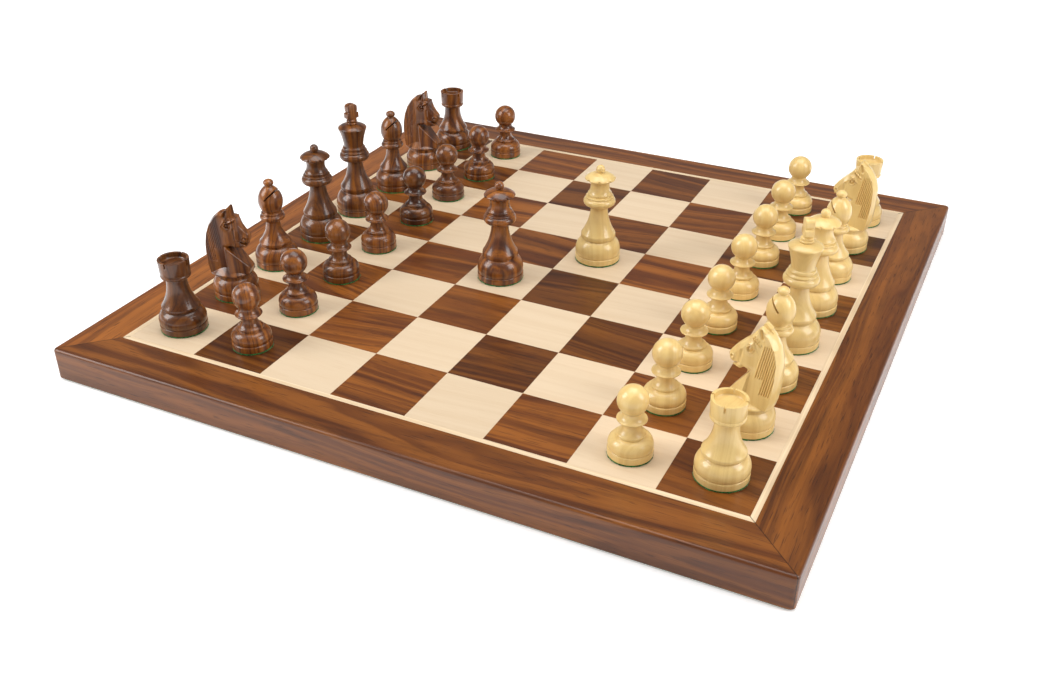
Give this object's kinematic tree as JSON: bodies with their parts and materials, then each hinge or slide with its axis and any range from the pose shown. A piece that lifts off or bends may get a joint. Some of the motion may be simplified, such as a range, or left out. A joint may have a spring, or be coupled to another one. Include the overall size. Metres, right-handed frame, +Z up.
{
  "type": "chess set with board",
  "caption": "Wooden chess set set out for play on a square framed inlaid board, turned and carved men on felt pads, each free to lift off.",
  "frame": {"origin": "middle of the board's underside", "axes": "+X along the files from a to h, +Y along the ranks from the pale men to the dark men, +Z up out of the board"},
  "size_m": [0.5334, 0.5334, 0.122],
  "materials": {
    "boxwood": "pale turned wood, satin to gloss lacquer",
    "rosewood": "dark streaked turned wood, gloss lacquer",
    "walnut": "red-brown straight-grained wood, gloss lacquer",
    "maple": "pale fine-grained wood, gloss lacquer",
    "panel_wood": "plain unfinished panel wood, hidden",
    "felt": "dense green felt"
  },
  "bodies": {
    "board": {"rail_front": "walnut", "rail_right": "walnut", "rail_back": "walnut", "rail_left": "walnut", "mitre_biscuits": "panel_wood", "core_panel": "panel_wood", "backing_veneer": "panel_wood", "base_felt": "felt", "dark_squares": "walnut", "light_squares": "maple", "border_line": "maple"},
    "white_rook_a": {"white_rook_a": "boxwood"},
    "white_knight_b": {"white_knight_b_base": "boxwood", "white_knight_b_head": "boxwood"},
    "white_bishop_c": {"white_bishop_c": "boxwood"},
    "white_king": {"white_king": "boxwood", "white_king_cross": "boxwood"},
    "white_queen": {"white_queen": "boxwood"},
    "white_bishop_f": {"white_bishop_f": "boxwood"},
    "white_knight_g": {"white_knight_g_base": "boxwood", "white_knight_g_head": "boxwood"},
    "white_rook_h": {"white_rook_h": "boxwood"},
    "white_pawn_a": {"white_pawn_a": "boxwood"},
    "white_pawn_b": {"white_pawn_b": "boxwood"},
    "white_pawn_c": {"white_pawn_c": "boxwood"},
    "white_pawn_d": {"white_pawn_d": "boxwood"},
    "white_pawn_e": {"white_pawn_e": "boxwood"},
    "white_pawn_f": {"white_pawn_f": "boxwood"},
    "white_pawn_g": {"white_pawn_g": "boxwood"},
    "white_pawn_h": {"white_pawn_h": "boxwood"},
    "white_queen_spare": {"white_queen_spare": "boxwood"},
    "black_rook_a": {"black_rook_a": "rosewood"},
    "black_knight_b": {"black_knight_b_base": "rosewood", "black_knight_b_head": "rosewood"},
    "black_bishop_c": {"black_bishop_c": "rosewood"},
    "black_king": {"black_king": "rosewood", "black_king_cross": "rosewood"},
    "black_queen": {"black_queen": "rosewood"},
    "black_bishop_f": {"black_bishop_f": "rosewood"},
    "black_knight_g": {"black_knight_g_base": "rosewood", "black_knight_g_head": "rosewood"},
    "black_rook_h": {"black_rook_h": "rosewood"},
    "black_pawn_a": {"black_pawn_a": "rosewood"},
    "black_pawn_b": {"black_pawn_b": "rosewood"},
    "black_pawn_c": {"black_pawn_c": "rosewood"},
    "black_pawn_d": {"black_pawn_d": "rosewood"},
    "black_pawn_e": {"black_pawn_e": "rosewood"},
    "black_pawn_f": {"black_pawn_f": "rosewood"},
    "black_pawn_g": {"black_pawn_g": "rosewood"},
    "black_pawn_h": {"black_pawn_h": "rosewood"},
    "black_queen_spare": {"black_queen_spare": "rosewood"}
  },
  "joints": [
    {"name": "lift_white_rook_a", "type": "slide", "parent": "board", "child": "white_rook_a", "axis": [0, 0, 1], "range_m": [0, 0.12]},
    {"name": "lift_white_knight_b", "type": "slide", "parent": "board", "child": "white_knight_b", "axis": [0, 0, 1], "range_m": [0, 0.12]},
    {"name": "lift_white_bishop_c", "type": "slide", "parent": "board", "child": "white_bishop_c", "axis": [0, 0, 1], "range_m": [0, 0.12]},
    {"name": "lift_white_king", "type": "slide", "parent": "board", "child": "white_king", "axis": [0, 0, 1], "range_m": [0, 0.12]},
    {"name": "lift_white_queen", "type": "slide", "parent": "board", "child": "white_queen", "axis": [0, 0, 1], "range_m": [0, 0.12]},
    {"name": "lift_white_bishop_f", "type": "slide", "parent": "board", "child": "white_bishop_f", "axis": [0, 0, 1], "range_m": [0, 0.12]},
    {"name": "lift_white_knight_g", "type": "slide", "parent": "board", "child": "white_knight_g", "axis": [0, 0, 1], "range_m": [0, 0.12]},
    {"name": "lift_white_rook_h", "type": "slide", "parent": "board", "child": "white_rook_h", "axis": [0, 0, 1], "range_m": [0, 0.12]},
    {"name": "lift_white_pawn_a", "type": "slide", "parent": "board", "child": "white_pawn_a", "axis": [0, 0, 1], "range_m": [0, 0.12]},
    {"name": "lift_white_pawn_b", "type": "slide", "parent": "board", "child": "white_pawn_b", "axis": [0, 0, 1], "range_m": [0, 0.12]},
    {"name": "lift_white_pawn_c", "type": "slide", "parent": "board", "child": "white_pawn_c", "axis": [0, 0, 1], "range_m": [0, 0.12]},
    {"name": "lift_white_pawn_d", "type": "slide", "parent": "board", "child": "white_pawn_d", "axis": [0, 0, 1], "range_m": [0, 0.12]},
    {"name": "lift_white_pawn_e", "type": "slide", "parent": "board", "child": "white_pawn_e", "axis": [0, 0, 1], "range_m": [0, 0.12]},
    {"name": "lift_white_pawn_f", "type": "slide", "parent": "board", "child": "white_pawn_f", "axis": [0, 0, 1], "range_m": [0, 0.12]},
    {"name": "lift_white_pawn_g", "type": "slide", "parent": "board", "child": "white_pawn_g", "axis": [0, 0, 1], "range_m": [0, 0.12]},
    {"name": "lift_white_pawn_h", "type": "slide", "parent": "board", "child": "white_pawn_h", "axis": [0, 0, 1], "range_m": [0, 0.12]},
    {"name": "lift_white_queen_spare", "type": "slide", "parent": "board", "child": "white_queen_spare", "axis": [0, 0, 1], "range_m": [0, 0.12]},
    {"name": "lift_black_rook_a", "type": "slide", "parent": "board", "child": "black_rook_a", "axis": [0, 0, 1], "range_m": [0, 0.12]},
    {"name": "lift_black_knight_b", "type": "slide", "parent": "board", "child": "black_knight_b", "axis": [0, 0, 1], "range_m": [0, 0.12]},
    {"name": "lift_black_bishop_c", "type": "slide", "parent": "board", "child": "black_bishop_c", "axis": [0, 0, 1], "range_m": [0, 0.12]},
    {"name": "lift_black_king", "type": "slide", "parent": "board", "child": "black_king", "axis": [0, 0, 1], "range_m": [0, 0.12]},
    {"name": "lift_black_queen", "type": "slide", "parent": "board", "child": "black_queen", "axis": [0, 0, 1], "range_m": [0, 0.12]},
    {"name": "lift_black_bishop_f", "type": "slide", "parent": "board", "child": "black_bishop_f", "axis": [0, 0, 1], "range_m": [0, 0.12]},
    {"name": "lift_black_knight_g", "type": "slide", "parent": "board", "child": "black_knight_g", "axis": [0, 0, 1], "range_m": [0, 0.12]},
    {"name": "lift_black_rook_h", "type": "slide", "parent": "board", "child": "black_rook_h", "axis": [0, 0, 1], "range_m": [0, 0.12]},
    {"name": "lift_black_pawn_a", "type": "slide", "parent": "board", "child": "black_pawn_a", "axis": [0, 0, 1], "range_m": [0, 0.12]},
    {"name": "lift_black_pawn_b", "type": "slide", "parent": "board", "child": "black_pawn_b", "axis": [0, 0, 1], "range_m": [0, 0.12]},
    {"name": "lift_black_pawn_c", "type": "slide", "parent": "board", "child": "black_pawn_c", "axis": [0, 0, 1], "range_m": [0, 0.12]},
    {"name": "lift_black_pawn_d", "type": "slide", "parent": "board", "child": "black_pawn_d", "axis": [0, 0, 1], "range_m": [0, 0.12]},
    {"name": "lift_black_pawn_e", "type": "slide", "parent": "board", "child": "black_pawn_e", "axis": [0, 0, 1], "range_m": [0, 0.12]},
    {"name": "lift_black_pawn_f", "type": "slide", "parent": "board", "child": "black_pawn_f", "axis": [0, 0, 1], "range_m": [0, 0.12]},
    {"name": "lift_black_pawn_g", "type": "slide", "parent": "board", "child": "black_pawn_g", "axis": [0, 0, 1], "range_m": [0, 0.12]},
    {"name": "lift_black_pawn_h", "type": "slide", "parent": "board", "child": "black_pawn_h", "axis": [0, 0, 1], "range_m": [0, 0.12]},
    {"name": "lift_black_queen_spare", "type": "slide", "parent": "board", "child": "black_queen_spare", "axis": [0, 0, 1], "range_m": [0, 0.12]}
  ]
}
